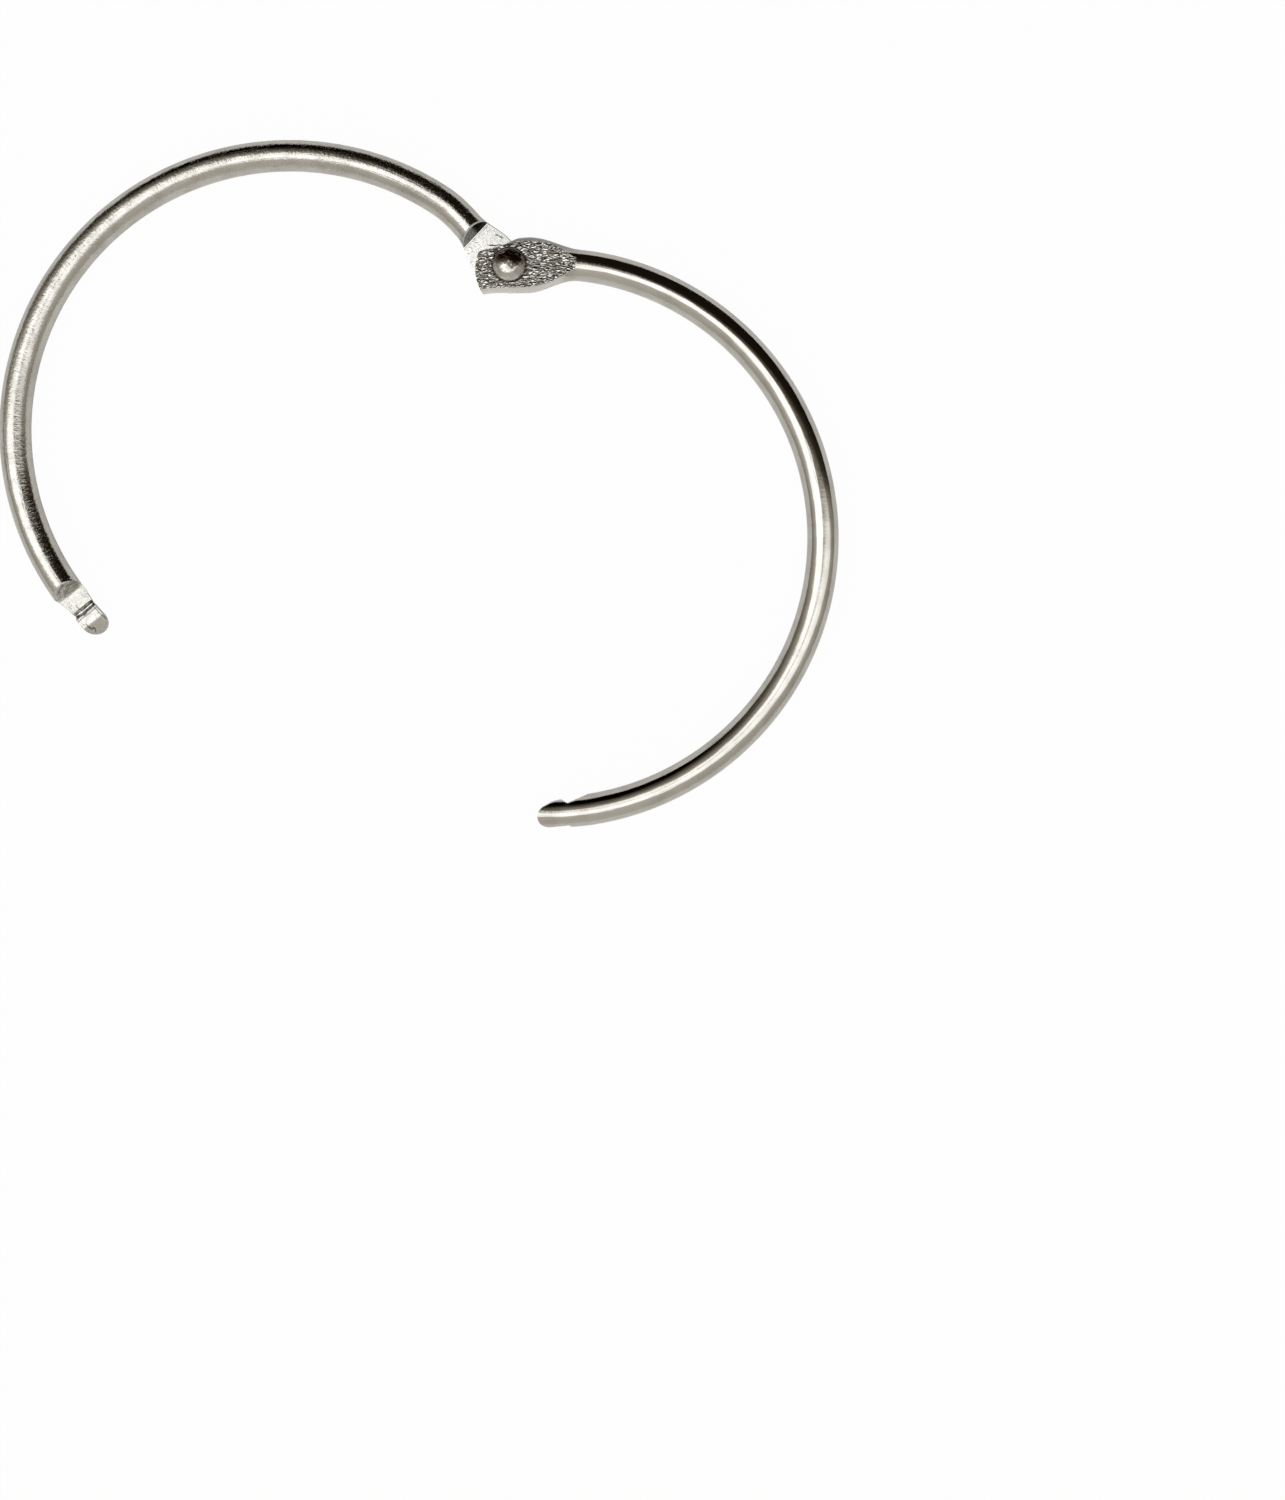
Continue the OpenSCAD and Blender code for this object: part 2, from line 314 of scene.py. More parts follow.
def cut_level(turn, off, shoulder, r):
    """The height that a half ring's metal starts at. Under the lug it is the mating face, which
    drops in a straight slope past the shoulder, and under the tongue it is the stepped line."""
    away = (BEND_R + off) * np.sin(np.clip(RIVET_TURN - shoulder / BEND_R - turn, -1, 0.5))
    lug = LUG_PLAY - soft_ramp(away, r) / SHOULDER_TAN
    q = BEND_OFFSET + (BEND_R + off) * np.cos(turn) + LAP / 2
    tongue = soft_line(np.clip(q, -1, 14), TONGUE_LEVELS, r)
    return np.where(turn > 0, lug, tongue)


def beside(places, reach, count):
    """Stations spread evenly on both sides of each place, up to reach away from it."""
    return np.concatenate([at + np.linspace(-reach, reach, count) for at in places])


def along_stations(lug, tongue):
    """Stations along one half ring, from the lug's end to the nose, each a distance s. They are
    close together over the forged ends and next to each break, and wide apart over the plain
    wire. They crowd towards both ends as a cosine does. The flat's tip is there twice, before
    and after its step."""
    span = BEND_R * math.asin(lug["end_r"] / (BEND_R - lug["end_in"]))
    first = lug["end_r"] - lug["end"] - span
    lug_end = first + LUG_CROWD * (1 - np.cos(np.linspace(0, np.pi / 2, 15)))
    even = np.arange(lug_end[-1] + LUG_STEP, FLAT_TIP_AT - 0.05, LUG_STEP)
    breaks = [lug["shoulder"], lug["shoulder"] + (LUG_PLAY + WIRE_R) * SHOULDER_TAN]
    lug_part = np.sort(np.concatenate([lug_end, even, beside(breaks, 0.16, 9)]))
    neck = FLAT_TIP_AT + np.array([0, 0, 0.04, 0.1, 0.2])
    neck = np.concatenate([neck, np.arange(FLAT_TIP_AT + 0.35, LEAVE_AT + 1, NECK_STEP)])

    nose = NOSE_CROWD * (1 - np.cos(np.linspace(0, 1.45, 16)))
    even = np.arange(NOSE_CROWD, TONGUE_REACH, TONGUE_STEP)
    steps = [at for at, _ in TONGUE_LEVELS[1:]]
    bends = [at for at, _ in tongue["outer"][:-1] + tongue["inner"][:-1]]
    q = np.sort(np.concatenate([even, nose, beside(steps, 0.14, 7), beside(bends, 0.06, 5)]))
    q = q[np.concatenate([[True], np.diff(q) > CLOSEST])][::-1]
    tongue_part = (RIVET_TURN + np.arccos((q - LAP / 2 - BEND_OFFSET) / BEND_R)) * BEND_R
    wire = np.linspace(neck[-1], tongue_part[0], WIRE_STATIONS)[1:-1]
    return np.concatenate([lug_part, neck, wire, tongue_part])


def tongue_point(q, v):
    """The plan point of a tongue at the distance q from its nose's end, moved out by v."""
    x = q - LAP / 2
    return np.array([x, BEND_Y - math.sqrt((BEND_R + v) ** 2 - (x - BEND_OFFSET) ** 2)])


def tongue_side(x, tongue, side):
    """One side of a tongue in plan, as how far the points at each x lie out from the middle
    line: along the nose's circle up to where the first straight side touches it, and then from
    point to point. side is 1 for the outer side, which faces -y here, and -1 for the inner."""
    radius, shift = tongue["nose"]
    nose = tongue_point(radius, shift)
    corners = np.array([tongue_point(q, v) for q, v in tongue["outer" if side > 0 else "inner"]])
    to = corners[0] - nose
    lean = math.atan2(to[1], to[0]) - side * math.acos(radius / math.hypot(*to))
    touch = nose + radius * np.array([math.cos(lean), math.sin(lean)])
    path = np.concatenate([[touch], corners])
    round_y = nose[1] - side * np.sqrt(np.maximum(radius**2 - (x - nose[0]) ** 2, 0))
    y = np.where(x < touch[0], round_y, np.interp(x, path[:, 0], path[:, 1]))
    return np.hypot(x - BEND_OFFSET, y - BEND_Y) - BEND_R


def plan_limits(s, turn, lug, tongue):
    """How far out and how far in a section may reach in plan: the round end of the lug, where a
    line from the bend's centre crosses the end's circle, the lug's trimmed corner, which is a
    line through a few points with its bends rounded, and the two sides of the tongue."""
    delta = (s - (lug["end_r"] - lug["end"])) / BEND_R
    middle_r = BEND_R - lug["end_in"]
    level = middle_r * np.cos(delta) - BEND_R
    root = np.sqrt(np.maximum(lug["end_r"] ** 2 - (middle_r * np.sin(delta)) ** 2, 0))
    out = np.where(delta < 0, level + root, NO_LIMIT)
    inn = np.where(delta < 0, level - root, -NO_LIMIT)
    out = np.where(s < LEAVE_AT, np.minimum(out, soft_line(s, lug["trim"], TRIM_ROUND)), out)

    x = BEND_OFFSET + BEND_R * np.cos(turn)
    on_tongue = (turn < -1) & (x < tongue["outer"][-1][0] - LAP / 2)
    out = np.where(on_tongue, tongue_side(x, tongue, 1), out)
    inn = np.where(on_tongue, tongue_side(x, tongue, -1), inn)
    return out, inn


def section_ellipse(s, lug):
    """Half the width, the height and the middle of each section's ellipse. Past the neck the lug
    swells to its widest place and narrows from there to its end, its top bulges past the flat's
    tip, and its middle shifts inwards and back again, each by half a cosine wave."""
    to_end = ease((WIDEST_AT - s) / (WIDEST_AT + lug["end"] + END_OVER))
    wide = np.where(
        s > WIDEST_AT,
        WIRE_R + (lug["width"] / 2 - WIRE_R) * ease((lug["neck"] - s) / (lug["neck"] - WIDEST_AT)),
        lug["width"] / 2 - END_NARROWING * to_end,
    )
    high = WIRE_R + (LUG_BULGE - WIRE_R) * ease((FLAT_TIP_AT - s) / (FLAT_TIP_AT - BULGE_AT))
    middle = -lug["shift"] * np.where(
        s > WIDEST_AT, ease((LEAVE_AT - s) / (LEAVE_AT - WIDEST_AT)), 1 - to_end
    )
    return wide, high, middle


def face_kinds(on_flat, under_cut, rubbed_and_highlit, rim):
    """Three masks at each point: x on the lug's outer flat, y on a face that is cut from below, and
    z where an edge is polished bright and painted with a highlight line, which is where it was
    rounded or along a rim."""
    kinds = np.zeros(rubbed_and_highlit.shape + (3,))
    kinds[:, FACE_POINTS + SIDE_POINTS : 2 * FACE_POINTS + SIDE_POINTS + 1, 0] = on_flat
    kinds[:, :FACE_POINTS, 1] = under_cut
    kinds[:, FACE_POINTS, 1] = under_cut[:, -1]
    kinds[:, :, 2] = rubbed_and_highlit
    kinds[:, :FACE_POINTS, 2] = np.maximum(rubbed_and_highlit[:, :FACE_POINTS], rim)
    return kinds


def half_ring_grid(lug, tongue, edge_round, break_round):
    """Sections of one half ring, as arrays of stations by points, in the shut ring's frame with
    its lug on top. Each section is an ellipse about the wire's middle line, flattened by a level
    top, a cut from below and two upright limits in plan. It has four parts, which meet at the
    corners: the under face, the outer side, the top face and the inner side. The loop is then
    averaged over a short stretch of its own length, which rounds each corner alike."""
    # what holds for a whole section is a column, with one row for each station
    s = along_stations(lug, tongue)[:, None]
    turn = RIVET_TURN - s / BEND_R
    q = BEND_OFFSET + BEND_R * np.cos(turn) + LAP / 2
    on_tongue = turn < -1
    straight = np.where(on_tongue, ease((STRAIGHT_FROM - q) / STRAIGHT_OVER), 0)
    on_flat = s < FLAT_TIP_AT - TINY
    on_flat[np.flatnonzero(np.abs(s - FLAT_TIP_AT) < TINY)[0]] = True
    wide, high, middle = section_ellipse(s, lug)
    top = np.where(on_flat, LUG_T, NO_LIMIT)
    out, inn = plan_limits(s, turn, lug, tongue)
    out_w, inn_w = np.minimum(out - middle, wide), np.minimum(middle - inn, wide)

    # the corners' angles on the ellipse: level with the cuts, or at a place that drifts along
    # the plain wire so that the points spread evenly round it
    plain = CORNER_AT + CORNER_DRIFT - CORNER_DRIFT * ease((s - FLAT_TIP_AT) / 6)
    plain_top = CORNER_AT - CORNER_DRIFT_TOP * ease((18 - q) / 8)
    plain_top = np.radians(np.where(on_tongue, plain_top, plain))
    plain_low = CORNER_AT + CORNER_DRIFT * ease((18 - q) / 7)
    plain_low = np.radians(np.where(on_tongue, plain_low, plain))

    def reach(angle, w):
        return np.minimum(wide * np.cos(angle), w)

    def top_corner(w):
        level = np.arcsin(np.minimum(top / high, np.sin(plain_top)))
        return np.where(on_flat, level, np.arccos(np.minimum(w / wide, np.cos(plain_top))))

    def low_corner(side, w):
        angle = np.zeros_like(s)
        for _ in range(6):
            off = middle + side * reach(angle, w)
            level = cut_level(section_turn(turn, straight, off), off, lug["shoulder"], break_round)
            tall = np.where(level > 0, high, WIRE_R)
            angle = np.arcsin(np.clip(level / tall, -np.sin(plain_low), 1))
        return angle

    def lean_at(angle, w):
        return np.arcsin(np.clip(reach(angle, w) / wide, -1, 1))

    top_out, top_in = top_corner(out_w), top_corner(inn_w)
    low_out, low_in = low_corner(1, out_w), low_corner(-1, inn_w)
    across = np.linspace(0, 1, FACE_POINTS + 1)[None, :-1]
    up = np.linspace(0, 1, SIDE_POINTS + 1)[None, :-1]
    up = up * 0.6 + 0.4 * ease(up)

    # the under face, from the inner corner to the outer one
    start = -lean_at(low_in, inn_w)
    lean = start + (lean_at(low_out, out_w) - start) * across
    under_off = middle + wide * np.sin(lean)
    under_turn = section_turn(turn, straight, under_off)
    level = cut_level(under_turn, under_off, lug["shoulder"], break_round)
    arc = -WIRE_R * np.cos(lean)
    under_z = np.maximum(level, arc)

    # the top face, back from the outer corner
    start = lean_at(top_out, out_w)
    lean = start + (-lean_at(top_in, inn_w) - start) * across
    over_off = middle + wide * np.sin(lean)
    over_z = np.minimum(top, high * np.cos(lean))

    def flank(first, last, w, side):
        angle = first + (last - first) * up
        height = np.sin(angle) * np.where(angle > 0, high, WIRE_R)
        return middle + side * reach(angle, w), height

    outer_off, outer_z = flank(low_out, top_out, out_w, 1)
    inner_off, inner_z = flank(top_in, low_in, inn_w, -1)
    sharp_off = np.concatenate([under_off, outer_off, over_off, inner_off], axis=1)
    sharp_z = np.concatenate([under_z, outer_z, over_z, inner_z], axis=1)
    off, z = round_loops(sharp_off, sharp_z, edge_round)
    # how far rounding moved each point: the rounded edges are later painted brighter, partly as
    # polish from handling and partly as a painted highlight line
    rubbed_and_highlit = np.clip(np.hypot(off - sharp_off, z - sharp_z) / edge_round * 2.2, 0, 1)
    # the first and last loops fold flat onto themselves, which closes the ends
    mirror = (FACE_POINTS - np.arange(off.shape[1])) % off.shape[1]
    for end in (0, -1):
        off[end] = (off[end] + off[end, mirror]) / 2
        z[end] = (z[end] + z[end, mirror]) / 2

    under_cut = np.clip((level - arc) / CUT_BLEND, 0, 1)
    # a thin band where the shoulder's wall meets the round underside, later painted brighter as a
    # highlight line along the wall's arch
    rim = np.clip(1.6 - np.abs(level - arc - RIM_AT) / RIM_HALF, 0, 1)
    rim = rim * ((s > lug["shoulder"]) & (turn > 0))
    x, y = bend_point(section_turn(turn, straight, off), off)
    lay = np.stack([np.broadcast_to(s, off.shape), off, z], axis=-1)
    return np.stack([x, y, z], axis=-1), lay, face_kinds(on_flat, under_cut, rubbed_and_highlit, rim), s


def round_loops(a, b, r):
    """Averages each closed loop over its own length with a bell curve r wide, so that a corner
    turns into a small round while a long gentle curve stays where it is."""
    da, db = np.roll(a, -1, 1) - a, np.roll(b, -1, 1) - b
    step = np.hypot(da, db)
    place = np.cumsum(step, axis=1) - step
    total = step.sum(axis=1)[:, None, None]
    weight = (step + np.roll(step, 1, 1))[:, None, :] / 2 + 1e-12
    apart = np.abs(place[:, :, None] - place[:, None, :])
    apart = np.minimum(apart, total - apart)
    bell = np.exp(-0.5 * (apart / r) ** 2) * weight
    bell /= bell.sum(axis=2, keepdims=True)
    return np.einsum("ijk,ik->ij", bell, a), np.einsum("ijk,ik->ij", bell, b)


def square_to_circle(u, v):
    """Turns squares about the axis into circles. For the points at u along the lug and v out, it
    gives the size of the square that each lies on, and its place on the unit circle, which it
    goes round as evenly as round the square."""
    size = np.maximum(np.maximum(np.abs(u), np.abs(v)), TINY)
    u, v = np.broadcast_to(u, size.shape) / size, np.broadcast_to(v, size.shape) / size
    wide = np.abs(u) >= np.abs(v)
    angle = np.where(
        wide,
        np.pi / 4 * v / np.where(wide & (u != 0), u, 1) + np.where(u > 0, 0, np.pi),
        np.pi / 2 - np.pi / 4 * u / np.where(wide, 1, v) + np.where(v > 0, 0, np.pi),
    )
    return size, np.stack([np.cos(angle), np.sin(angle)], axis=-1)


def walk_round(i0, i1, c0, c1):
    """The rows and columns of the points round a block of cells, once round."""
    walk = [(i, c0) for i in range(i0, i1)]
    walk += [(i1, c) for c in range(c0, c1)]
    walk += [(i, c1) for i in range(i1, i0, -1)]
    walk += [(i0, c) for c in range(c1, c0, -1)]
    return np.array(walk)


def open_bore(points, s, low_r, top_r):
    """Opens the grid round the rivet: in the under and top faces a block of cells is pushed out
    from a square to a circle about the axis, and its neighbours follow less and less. Returns
    the moved points, a mask of the cells in the hole, and both rims' rows and columns."""
    middle_row = int(np.argmin(np.abs(s)))
    half_rows = int(round(BLOCK_PART * top_r / LUG_STEP))
    low_cols = np.arange(1, FACE_POINTS)
    top_cols = np.arange(FACE_POINTS + SIDE_POINTS + 1, 2 * FACE_POINTS + SIDE_POINTS)[::-1]
    low_at, top_at = (
        int(np.argmin(np.hypot(*points[middle_row, cols, :2].T))) for cols in (low_cols, top_cols)
    )
    pair = points[middle_row, top_cols[top_at : top_at + 2], 1]
    half_cols = int(round(BLOCK_PART * top_r / abs(pair[1] - pair[0])))

    moved = points.copy()
    hole = np.zeros(points.shape[:2], bool)
    rims = []
    for cols, radius, centre in ((low_cols, low_r, low_at), (top_cols, top_r, top_at)):
        count = np.arange(len(cols))
        # rows run along the lug, which points along +x at the rivet, and columns run outwards
        u = (np.arange(points.shape[0]) - middle_row)[:, None] / half_rows
        v = (count - centre)[None, :] / half_cols
        size, unit = square_to_circle(u, v)
        room = np.minimum(count, len(cols) - 1 - count)[None, :]
        far = 1 - ease((size - 1) / 0.9)
        pull = np.where(size <= 1, 1, far * np.clip(room / 3, 0, 1))[..., None]
        block = moved[:, cols, :2]
        moved[:, cols, :2] = block + pull * (radius * size[..., None] * unit - block)
        i0, i1 = middle_row - half_rows, middle_row + half_rows
        c0, c1 = centre - half_cols, centre + half_cols
        first, last = sorted((cols[c0], cols[c1]))
        hole[i0:i1, first:last] = True
        walk = walk_round(i0, i1, c0, c1)
        rims.append(np.stack([walk[:, 0], cols[walk[:, 1]]], axis=1))
    return moved, hole, rims


def bore_wall(points, low, high, sunk):
    """The wall that joins the bore's rim on the mating face to its rim on the outer flat. A sunk
    bore is straight up to a ring of new points, and widens from there. Returns the new points
    and the wall's quads."""
    neck = np.zeros((0, 3))
    rings = [low, high]
    if sunk:
        neck = np.column_stack([points[low, :2], np.full(len(low), LUG_T - SINK_DEPTH)])
        rings = [low, len(points) + np.arange(len(low)), high]
    pairs = zip(rings[:-1], rings[1:])
    walls = [np.stack([a, b, np.roll(b, -1), np.roll(a, -1)], axis=1) for a, b in pairs]
    return neck, np.concatenate(walls)


def place_half(points, side):
    """Opens the shut half about the rivet and puts it on the ground. The lower half is the same
    wire turned over about the ring's middle line."""
    p = points.copy()
    if side < 0:
        p[..., 0] *= -1
        p[..., 2] *= -1
    c, t = math.cos(side * HALF_OPEN), math.sin(side * HALF_OPEN)
    x = c * p[..., 0] - t * p[..., 1]
    y = t * p[..., 0] + c * p[..., 1]
    return np.stack([x + HINGE[0], y + HINGE[1], p[..., 2] + WIRE_R], axis=-1)


def rivet_profile():
    """Radius and height down the rivet's outline: a cap over a short upright rim, the underside
    of the head, the shank, and the tail swelled into its countersink. The cap falls from its
    summit with a power of the radius a little over 2, so that it is blunter than a ball's."""
    rim_z = DOME_FOOT + DOME_RIM
    r = np.linspace(0, DOME_R - 0.02, 44)
    cap_h = DOME_TOP - DOME_FOOT - DOME_RIM
    cap = np.stack([r, DOME_TOP - cap_h * (r / DOME_R) ** DOME_BLUNT], axis=1)
    rim = [(DOME_R - 0.003, rim_z - 0.01), (DOME_R, rim_z - 0.04)]
    rim += [(DOME_R, DOME_FOOT + 0.1), (DOME_R - 0.01, DOME_FOOT + 0.04)]
    rim += [(DOME_R - 0.05, DOME_FOOT + 0.005), (DOME_R - 0.1, DOME_FOOT)]
    shank = [(r, DOME_FOOT) for r in np.linspace(DOME_R - 0.3, SHANK_R + 0.05, 6)]
    shank += [(SHANK_R, z) for z in np.linspace(DOME_FOOT - 0.02, NECK_Z, 14)]
    wider, lower = BELLY_R - SHANK_R, BELLY_Z - NECK_Z
    swell = [(SHANK_R + wider * t, NECK_Z + lower * t) for t in (0.5, 0.9)]
    tail = [(BELLY_R, BELLY_Z - 0.01), (BELLY_R - 0.04, BELLY_Z - 0.06), (SHANK_R, TAIL_Z)]
    end = [(r, TAIL_Z) for r in np.linspace(SHANK_R - 0.15, 0, 8)]
    return np.concatenate([cap, np.array(rim + shank + swell + tail + end)])


def rivet_grid():
    """The rivet's outline carried round its axis, as an array of outline points by sides. The
    setting tool struck the head a little off its middle, so the summit leans towards the ring's
    opening, and the cap follows it less and less with the square of the radius."""
    outline = rivet_profile()
    angle = np.linspace(0, 2 * np.pi, RIVET_SIDES, endpoint=False)
    r, z = outline[:, :1], outline[:, 1:]
    flat = np.broadcast_to(z, (len(outline), RIVET_SIDES))
    grid = np.stack([r * np.cos(angle), r * np.sin(angle), flat], axis=-1)
    lean = np.where(z > DOME_FOOT + DOME_RIM, DOME_LEAN * np.clip(1 - (r / DOME_R) ** 2, 0, 1), 0)
    grid[..., 0] += lean * math.sin(CAMERA_TURN)
    grid[..., 1] -= lean * math.cos(CAMERA_TURN)
    return grid + [HINGE[0], HINGE[1], WIRE_R]


def grid_faces(rows, cols):
    """Quads of a grid of rows by cols points, counted row by row, its columns joined round."""
    i = np.arange(rows - 1)[:, None]
    j = np.arange(cols)[None, :]
    k = (j + 1) % cols
    quads = [i * cols + j, i * cols + k, (i + 1) * cols + k, (i + 1) * cols + j]
    return np.stack(np.broadcast_arrays(*quads), axis=-1)


def make_piece(name, points, faces, attributes=()):
    """A mesh object at the origin, from points in millimetres, quads, and the names and vectors
    of its attributes."""
    mesh = bpy.data.meshes.new(name)
    mesh.from_pydata((points * MM).tolist(), [], faces.tolist())
    for label, vectors in attributes:
        layer = mesh.attributes.new(label, "FLOAT_VECTOR", "POINT")
        layer.data.foreach_set("vector", vectors.ravel())
    work = bmesh.new()
    work.from_mesh(mesh)
    bmesh.ops.remove_doubles(work, verts=work.verts, dist=MERGE)
    bmesh.ops.dissolve_degenerate(work, edges=work.edges, dist=SLIVER)
    work.to_mesh(mesh)
    work.free()
    mesh.polygons.foreach_set("use_smooth", [True] * len(mesh.polygons))
    mesh.update()
    if any(edge.is_loose for edge in mesh.edges):
        raise RuntimeError(f"{name} has loose edges")
    obj = bpy.data.objects.new(name, mesh)
    bpy.context.scene.collection.objects.link(obj)
    return obj


# ---- materials
class Signal:
    """A number that varies over a surface. It wraps a node's output, and sums on it add nodes."""

    def __init__(self, graph, socket):
        self.graph, self.socket = graph, socket

    def port(self, name):
        """Another output of the same node."""
        return Signal(self.graph, self.socket.node.outputs[name])

    def _math(self, operation, *values):
        return self.graph.add("ShaderNodeMath", {"operation": operation}, dict(enumerate(values)))

    def __add__(self, other):
        return self._math("ADD", self, other)

    __radd__ = __add__

    def __sub__(self, other):
        return self._math("SUBTRACT", self, other)

    def __rsub__(self, other):
        return self._math("SUBTRACT", other, self)

    def __mul__(self, other):
        return self._math("MULTIPLY", self, other)

    __rmul__ = __mul__

    def __pow__(self, other):
        return self._math("POWER", self, other)

    def clamp(self, top=1.0):
        return self._math("MINIMUM", self._math("MAXIMUM", self, 0.0), top)

    def arccos(self):
        return self._math("ARCCOSINE", self)

    def absolute(self):
        return self._math("ABSOLUTE", self)

    def between(self, low, high):
        """0 at low and beyond it, 1 at high and beyond it, and an S-shaped change between."""
        ends = {"From Min": low, "From Max": high}
        kind = {"interpolation_type": "SMOOTHSTEP", "clamp": True}
        return self.graph.add("ShaderNodeMapRange", kind, {"Value": self, **ends})

    def stripe(self, at, half):
        """1 where this is close to at, and 0 where it is half or more away from it."""
        return (self - at).absolute().between(half, half * 0.4)


class Graph:
    """The nodes of one material or of the world, added one call at a time."""

    def __init__(self, owner):
        owner.use_nodes = True
        self.owner, self.tree = owner, owner.node_tree
        self.tree.nodes.clear()

    def add(self, kind, settings=None, inputs=None, output=0):
        """Adds a node, sets its settings first and then its inputs, each a value or a signal."""
        node = self.tree.nodes.new(kind)
        for key, value in (settings or {}).items():
            setattr(node, key, value)
        for key, value in (inputs or {}).items():
            if isinstance(value, Signal):
                self.tree.links.new(value.socket, node.inputs[key])
            else:
                node.inputs[key].default_value = value
        return Signal(self, node.outputs[output]) if node.outputs else None

    def vectors(self, operation, first, second=None, output=0):
        """One step of Vector Math on one or two vectors."""
        inputs = {0: first} if second is None else {0: first, 1: second}
        return self.add("ShaderNodeVectorMath", {"operation": operation}, inputs, output)

    def colours(self, factor, first, second):
        """Mixes two colours by a factor."""
        pair = [c if isinstance(c, Signal) else tuple(c)[:3] + (1,) for c in (first, second)]
        inputs = {0: factor, 6: pair[0], 7: pair[1]}
        return self.add("ShaderNodeMix", {"data_type": "RGBA"}, inputs, output=2)

    def shaders(self, factor, first, second):
        """Mixes two shaders by a factor."""
        return self.add("ShaderNodeMixShader", None, {0: factor, 1: first, 2: second})


class MetalGraph(Graph):
    """A metal's nodes, with the object's own coordinates, noises, and the finished surface."""

    def __init__(self, name):
        super().__init__(bpy.data.materials.new(name))
        self.place = self.add("ShaderNodeTexCoord", output="Object")

    def attribute(self, name):
        return self.add("ShaderNodeAttribute", {"attribute_name": name}, output="Vector")

    def parts(self, vector):
        """The x of a vector, with its y and z as other ports."""
        return self.add("ShaderNodeSeparateXYZ", None, {0: vector})

    def from_hinge(self, vector, unit):
        """A place as seen from the rivet's axis. unit is 1 in millimetres and MM in metres."""
        return self.vectors("SUBTRACT", vector, (HINGE[0] * unit, HINGE[1] * unit, 0))

    def noise(self, vector, scale, detail, rough, distortion=0.0):
        values = {"Vector": vector, "Scale": scale, "Detail": detail, "Roughness": rough}
        return self.add("ShaderNodeTexNoise", None, {**values, "Distortion": distortion})

    def grains(self, vector, counts, detail, rough, distortion=0.0):
        """Noise with its own count of grains to the millimetre along each axis of a vector."""
        return self.noise(self.vectors("MULTIPLY", vector, counts), 1.0, detail, rough, distortion)

    def finish(self, colour, roughness, height, metallic=1.0):
        """The surface itself: height is in millimetres."""
        bump = self.add("ShaderNodeBump", None, {"Height": height, "Distance": MM, "Strength": 1.0})
        values = {"Base Color": colour, "Roughness": roughness, "Metallic": metallic}
        surface = self.add("ShaderNodeBsdfPrincipled", None, {**values, "Normal": bump})
        self.add("ShaderNodeOutputMaterial", None, {"Surface": surface})
        return self.owner


def tongue_marks(tip, off, dents, scratches):
    """Bright and dark masks over a tongue's faces, by the distance from the nose and the distance
    outwards: a dull nose with a crease, a bright pad before the groove, a dark groove that bows
    away from the nose, and a bright square pad past its outer half. The bright pads and the ramp
    are painted highlights where flat faces catch the light. The dark groove, its floor's edge, the
    square pad's corner, the crease, the line along the side and the olive band at the ramp's end
    are painted shade where the faces turn away from the light, and the bevelled nose is painted
    dull as a painted reflection."""
    # painted highlights on the flat pads, the square pad and the ramp
    pad = tip.between(1.8, 2.05) * tip.between(3.55, 3.35)
    square = tip.between(4.3, 4.45) * tip.between(5.7, 5.4) * off.between(0.4, 0.55)
    ramp = tip.between(4.4, 4.7) * tip.between(7.6, 7.2) * dents.between(0.5, 0.62)
    shiny = (pad * 0.9 + square * 0.95 + ramp * 0.8).clamp()

    bowed = tip - off * off * 0.1 + (dents - 0.5) * 0.6
    groove = bowed.stripe(3.74, 0.3)
    second = (tip + off * 0.05).stripe(4.34, 0.13) * off.between(0.6, 0.3)
    corner = off.stripe(0.42, 0.1) * tip.between(4.3, 4.4) * tip.between(5.5, 5.2)
    crease = (off + (dents - 0.5) * 1.4).stripe(0.85, 0.14)
    crease = crease * tip.between(0.5, 0.8) * tip.between(2.6, 2.2)
    side_line = (off + (scratches - 0.5) * 0.3).stripe(-1.5, 0.14)
    side_line = side_line * tip.between(0.8, 1.2) * tip.between(4.4, 4.2)
    nose = tip.between(1.9, 1.6) * (0.08 + scratches.between(0.5, 0.35) * 0.2)
    olive = tip.between(7.2, 7.6) * tip.between(8.7, 8.3) * (0.2 + dents.between(0.55, 0.4) * 0.3)
    # painted shade in the groove, at its floor's edge, at the square pad's corner, along the crease
    # and the side line, plus the nose's painted reflection and the olive band's painted shade
    dark = groove * 0.85 + second * 0.8 + corner * 0.7 + crease * 0.75 + side_line * 0.6
    return shiny, ((dark + nose + olive) * tip.between(12.0, 9.5)).clamp()


def lug_marks(g):
    """Rows of fine dark ticks on a lug's mating face, two dark scratches near the other lug's
    corner, and a ring of painted shade round the rivet's head, where it meets the lug. The ticks
    and scratches lie across the ring's width, not along the lug."""
    about_z = {"Vector": g.from_hinge(g.place, MM), "Angle": -CAMERA_TURN}
    turned = g.add("ShaderNodeVectorRotate", {"rotation_type": "Z_AXIS"}, about_z)
    turned = g.vectors("MULTIPLY", turned, TO_MM)
    ticks = g.grains(turned, (2.6, 7.5, 1.0), 2.0, 0.6).between(0.42, 0.32)
    right = g.parts(turned)
    far = right.port("Y")
    wander = g.noise(turned, 1.3, 2.0, 0.5)
    line = (far - 3.0 - (wander - 0.5) * 0.8).absolute().between(0.17, 0.07)
    line = line * right.between(-3.4, -2.9) * right.between(0.4, 0.0)
    nick = (far - 4.3 + (right + 1.5) * 0.5).absolute().between(0.2, 0.1)
    nick = nick * right.between(-2.2, -1.9) * right.between(-0.9, -1.2) * wander.between(0.3, 0.5)
    # the last mask is the ring of painted shade round the rivet's head
    return ticks, (line + nick * 0.8).clamp(), (right * right + far * far).between(7.2, 6.3)


